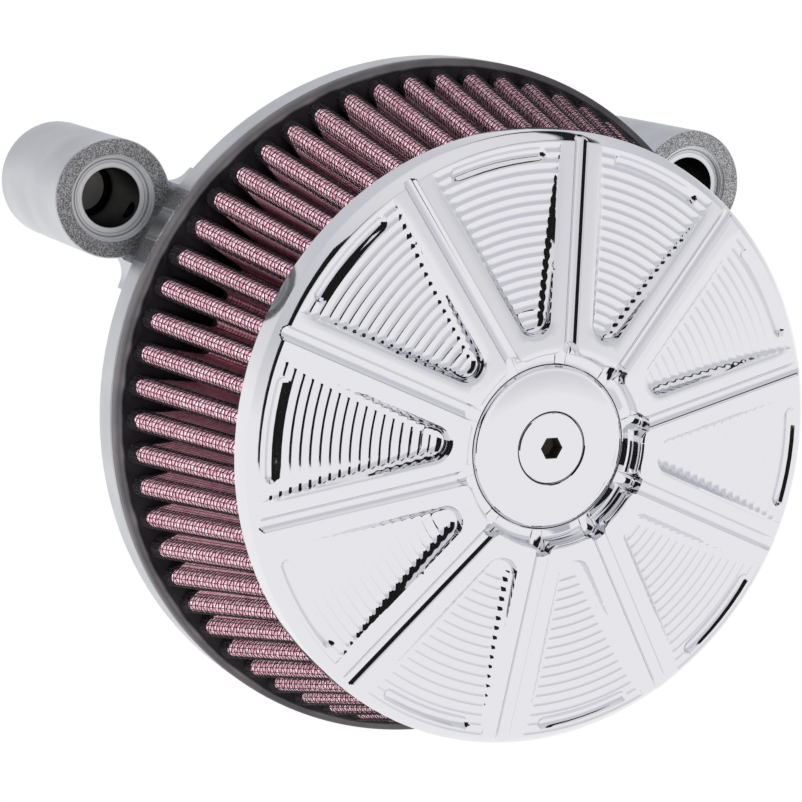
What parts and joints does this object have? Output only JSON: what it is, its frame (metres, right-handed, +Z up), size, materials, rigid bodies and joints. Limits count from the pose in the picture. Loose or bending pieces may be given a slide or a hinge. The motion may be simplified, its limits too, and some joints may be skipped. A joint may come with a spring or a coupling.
{
  "type": "motorcycle air filter",
  "caption": "Round pleated-cotton air filter with a spoked chrome billet cover, a cast backing plate and two long breather bosses.",
  "frame": {"origin": "centre of the throttle body's mating face, at the back of the backing plate, on the filter's axis", "axes": "+Z up on the motorcycle, +Y from the cover towards the engine along the filter's axis, +X to the right seen from the cover"},
  "size_m": [0.2146, 0.141, 0.1932],
  "materials": {
    "cast_aluminium": "satin cast, blasted and machined",
    "seal_rubber": "matte",
    "bracket_metal": "satin machined",
    "zinc_steel": "bright zinc",
    "insert_steel": "bright",
    "wire_mesh": "black coated wire",
    "oiled_cotton": "oiled woven cotton",
    "seal_urethane": "soft moulded",
    "chromed_cover": "polished chrome over billet aluminium",
    "chromed_screw": "polished chrome over steel"
  },
  "bodies": {
    "plate": {"backing_plate": "cast_aluminium", "throttle_body_o_ring": "seal_rubber", "breather_o_ring_left": "seal_rubber", "breather_o_ring_right": "seal_rubber", "cover_bracket": "bracket_metal", "bracket_screws": "zinc_steel", "bracket_lock_washers": "zinc_steel", "threaded_insert": "insert_steel"},
    "element": {"rear_end_seal": "seal_urethane", "front_end_seal": "seal_urethane", "cotton_media": "oiled_cotton", "outer_wire_mesh": "wire_mesh", "inner_wire_mesh": "wire_mesh"},
    "cover": {"cover": "chromed_cover", "cover_hub_disc": "chromed_cover"},
    "screw_ring": {"cover_screw_o_ring": "seal_rubber"},
    "screw": {"cover_screw": "chromed_screw"}
  },
  "joints": [
    {"name": "element_slide", "type": "slide", "parent": "plate", "child": "element", "axis": [0, -1, 0], "range_m": [0, 0.075]},
    {"name": "cover_slide", "type": "slide", "parent": "element", "child": "cover", "axis": [0, -1, 0], "range_m": [0, 0.05]},
    {"name": "screw_travel", "type": "slide", "parent": "cover", "child": "screw_ring", "axis": [0, -1, 0], "range_m": [0, 0.0127]},
    {"name": "screw_turn", "type": "hinge", "parent": "screw_ring", "child": "screw", "pos_m": [0, -0.098, 0], "axis": [0, -1, 0], "range_deg": [0, 2880]}
  ],
  "couplings": [
    {"joint": "screw_travel", "follows": "screw_turn", "m_per_rad": 0.00025266}
  ]
}
